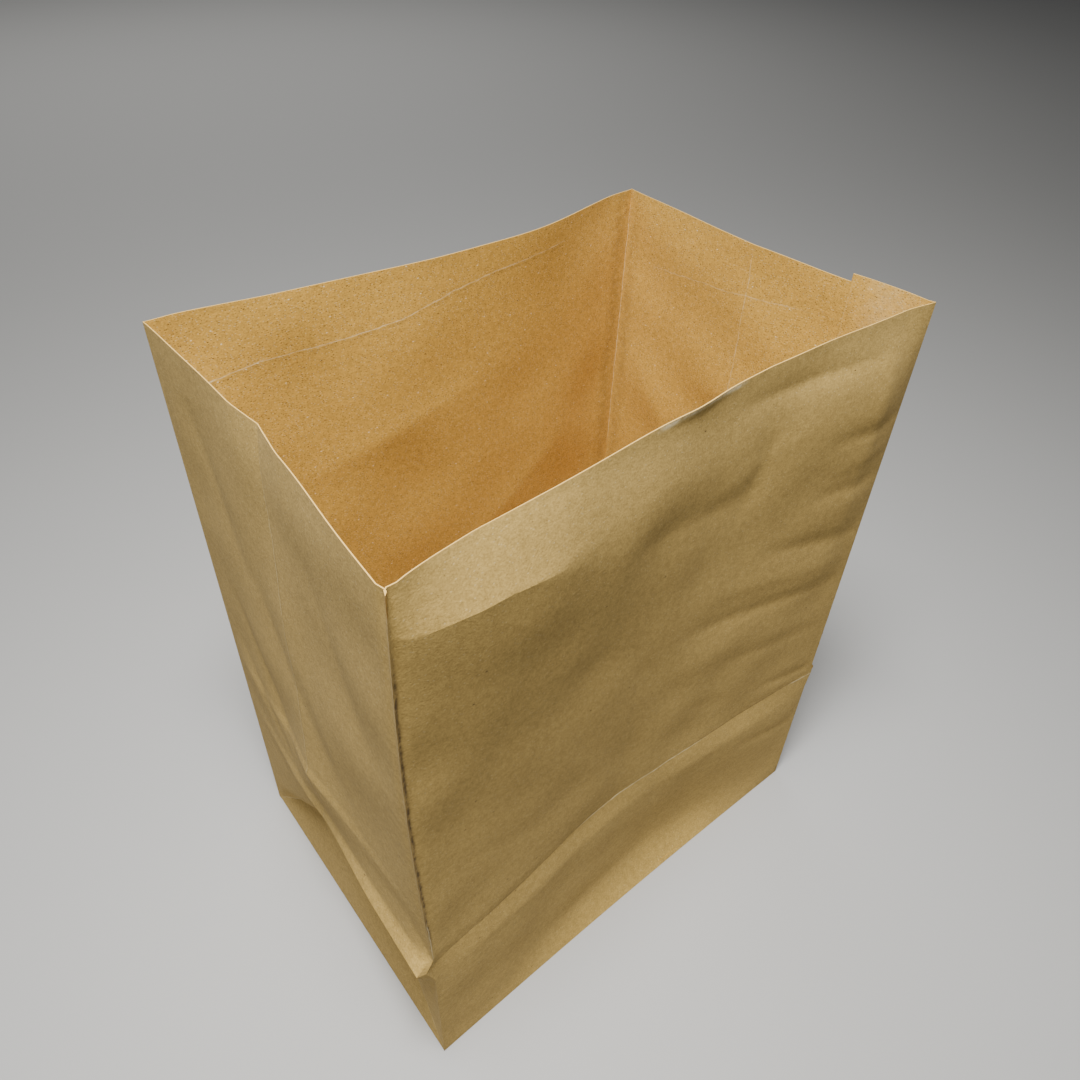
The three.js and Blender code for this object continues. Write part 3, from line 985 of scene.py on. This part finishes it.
def cut_edge_material(colours):
    """The knife-cut edge: bare fibre ends, paler than the pressed faces."""
    material = blank_material("kraft_paper_knife_cut")
    tree = material.node_tree
    web = add_node(tree, "ShaderNodeUVMap", {"uv_map": "web_metres"}).outputs["UV"]
    grain = add_node(tree, "ShaderNodeTexNoise", inputs={
        "Vector": web, "Scale": per_metre(1.2), "Detail": 3}).outputs["Fac"]
    cut = tuple(colours.cut)
    mixed = add_node(tree, "ShaderNodeMix", {"data_type": "RGBA"}, {
        "Factor": grain, 6: tuple(0.8 * c for c in cut) + (1,), 7: cut + (1,)})
    shader = add_node(tree, "ShaderNodeBsdfPrincipled", inputs={
        "Base Color": mixed.outputs[2], "Roughness": 0.9, "Specular IOR Level": 0.2})
    add_node(tree, "ShaderNodeOutputMaterial", inputs={"Surface": shader.outputs["BSDF"]})
    return material


def floor_material(base):
    """A rolled coat of matt paint: an even pale grey whose tone hardly wanders."""
    material = blank_material("matt_floor_paint_rolled")
    tree = material.node_tree
    place = add_node(tree, "ShaderNodeTexCoord").outputs["Object"]
    patches = add_node(tree, "ShaderNodeTexNoise", inputs={
        "Vector": place, "Scale": per_metre(1333), "Detail": 2}).outputs["Fac"]
    mixed = add_node(tree, "ShaderNodeMix", {"data_type": "RGBA"}, {
        "Factor": patches, 6: tuple(0.98 * c for c in base) + (1,), 7: tuple(base) + (1,)})
    shader = add_node(tree, "ShaderNodeBsdfPrincipled", inputs={
        "Base Color": mixed.outputs[2], "Roughness": 0.7})
    add_node(tree, "ShaderNodeOutputMaterial", inputs={"Surface": shader.outputs["BSDF"]})
    return material


# Faces that meet at less than this angle are shaded as one surface
SMOOTH_ANGLE = 50


class SACK_OT_fold_sack(bpy.types.Operator):
    """Fold the whole sack from its flat web: walls, gussets, seam strip and bottom"""

    bl_idname = "sack.fold_sack"
    bl_label = "Fold the sack"

    def execute(self, context):
        plan = FoldPlan(context.scene.sack_sizes)
        colours = context.scene.sack_colours
        web = flat_web(plan)
        for start, end in plan.fold_lines():
            cut_fold(web, start, end)
        mark_folds(web, plan)
        flat = coordinates(web.data)[:, [0, 2]] / MM
        set_coordinates(web.data, fold(flat, plan) * MM)
        for material in (
            # The face that ran on the smooth roll: even, and duller than the inside.
            kraft_material("kraft_paper_machine_finished", tuple(colours.outside),
                           outside_specks(colours), outside_wear_and_shade_marks(plan, colours)),
            # The face that lay on the wire: warmer, with far more fibres in sight.
            kraft_material("kraft_paper_wire_side", tuple(colours.inside),
                           inside_specks(colours), inside_wear_and_shade_marks(plan, colours)),
            cut_edge_material(colours),
        ):
            web.data.materials.append(material)
        apply_modifier(web, "SOLIDIFY", thickness=plan.paper * MM, offset=0,
                       material_offset=1, material_offset_rim=2)
        alone(web)
        bpy.ops.object.shade_smooth_by_angle(
            angle=math.radians(SMOOTH_ANGLE), keep_sharp_edges=True)
        check_piece(web)
        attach(web, "root")
        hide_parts(SACK)
        return {"FINISHED"}


# The studio. The key hangs just before the front and left walls, so that it grazes them.
# Each softbox: its name, place, target and size in metres, watts, and spread in degrees.
SOFTBOXES = (
    ("key_softbox", (-0.205, -0.165, 1.0), (-0.06, -0.06, 0.2), (0.26, 0.26), 10.5, 130),
    ("back_softbox", (0.5, 1.9, 1.7), (0.5, 2.1, 0.0), (2.0, 1.6), 26, 180),
)
ROOM_COLOUR = "e7eaed"
ROOM_STRENGTH = 0.085
FLOOR_SIZE = 12


class SACK_OT_set_stage(bpy.types.Operator):
    """Set the pale floor, the soft studio light and the camera"""

    bl_idname = "sack.set_stage"
    bl_label = "Set the stage"

    def execute(self, context):
        colours = context.scene.sack_colours
        bpy.ops.object.select_all(action="DESELECT")
        bpy.ops.mesh.primitive_plane_add(size=FLOOR_SIZE, location=(0, 0, 0))
        floor = context.object
        floor.name = "studio_floor"
        floor.data.materials.append(floor_material(tuple(colours.floor)))
        for softbox in SOFTBOXES:
            add_light(*softbox)
        world = bpy.data.worlds.new("studio")
        world.use_nodes = True
        background = world.node_tree.nodes["Background"]
        background.inputs["Color"].default_value = linear(ROOM_COLOUR) + (1,)
        background.inputs["Strength"].default_value = ROOM_STRENGTH
        context.scene.world = world
        set_camera(context.scene)
        if context.scene.camera is None:
            raise RuntimeError("the stage has no camera")
        return {"FINISHED"}


def add_light(name, place, target, size, watts, spread):
    """A rectangular softbox that looks at a target. A grid narrows its spread."""
    bpy.ops.object.light_add(type="AREA", location=place)
    light = bpy.context.object
    light.name = name
    light.data.shape = "RECTANGLE"
    light.data.size, light.data.size_y = size
    light.data.energy = watts
    light.data.spread = math.radians(spread)
    light.rotation_euler = (Vector(target) - Vector(place)).to_track_quat("-Z", "Y").to_euler()


# The photograph's view, solved from the corners of the sack: metres, radians and pixels
CAMERA_PLACE = (-0.1931, -0.2207, 0.4722)
CAMERA_AZIMUTH = -0.6696
CAMERA_ELEVATION = 0.6826
CAMERA_ROLL = 0.0103
CAMERA_FOCUS_PX = 845
PICTURE_PX = 1080
AXIS_PX = (512, 490)
SENSOR_MM = 36
CLIP_START = 0.01


def set_camera(scene):
    """A camera at the place, turn and focal length of the photograph."""
    back = Vector((
        math.sin(CAMERA_AZIMUTH) * math.cos(CAMERA_ELEVATION),
        -math.cos(CAMERA_AZIMUTH) * math.cos(CAMERA_ELEVATION),
        math.sin(CAMERA_ELEVATION),
    ))
    level = Vector((0, 0, 1)).cross(back).normalized()
    upright = back.cross(level)
    turn, lean = math.cos(CAMERA_ROLL), math.sin(CAMERA_ROLL)
    right = turn * level + lean * upright
    up = turn * upright - lean * level
    data = bpy.data.cameras.new("photo_camera")
    data.sensor_width = SENSOR_MM
    data.lens = CAMERA_FOCUS_PX / PICTURE_PX * SENSOR_MM
    data.shift_x = 0.5 - AXIS_PX[0] / PICTURE_PX
    data.shift_y = AXIS_PX[1] / PICTURE_PX - 0.5
    data.clip_start = CLIP_START
    camera = bpy.data.objects.new("photo_camera", data)
    camera.matrix_world = Matrix((
        (right.x, up.x, back.x, CAMERA_PLACE[0]),
        (right.y, up.y, back.y, CAMERA_PLACE[1]),
        (right.z, up.z, back.z, CAMERA_PLACE[2]),
        (0, 0, 0, 1),
    ))
    scene.collection.objects.link(camera)
    scene.camera = camera


class SACK_PT_panel(bpy.types.Panel):
    """The sack's sizes, colours and steps."""

    bl_idname = "SACK_PT_panel"
    bl_label = "Paper sack"
    bl_space_type = "VIEW_3D"
    bl_region_type = "UI"
    bl_category = "Paper sack"

    def draw(self, context):
        for group in (context.scene.sack_sizes, context.scene.sack_colours):
            for name in group.__annotations__:
                self.layout.prop(group, name)
        for operator in (SACK_OT_set_stage, SACK_OT_fold_sack):
            self.layout.operator(operator.bl_idname)


CLASSES = (SackSizes, SackColours, SACK_OT_fold_sack, SACK_OT_set_stage, SACK_PT_panel)


def register():
    """Registers the classes and gives the scene its sizes and colours."""
    for item in CLASSES:
        bpy.utils.register_class(item)
    bpy.types.Scene.sack_sizes = bpy.props.PointerProperty(type=SackSizes)
    bpy.types.Scene.sack_colours = bpy.props.PointerProperty(type=SackColours)


def unregister():
    """Undoes register."""
    del bpy.types.Scene.sack_colours
    del bpy.types.Scene.sack_sizes
    for item in reversed(CLASSES):
        bpy.utils.unregister_class(item)


def main():
    """Sets the stage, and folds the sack."""
    register()
    bpy.ops.sack.set_stage()
    bpy.ops.sack.fold_sack()


if __name__ == "__main__":
    main()
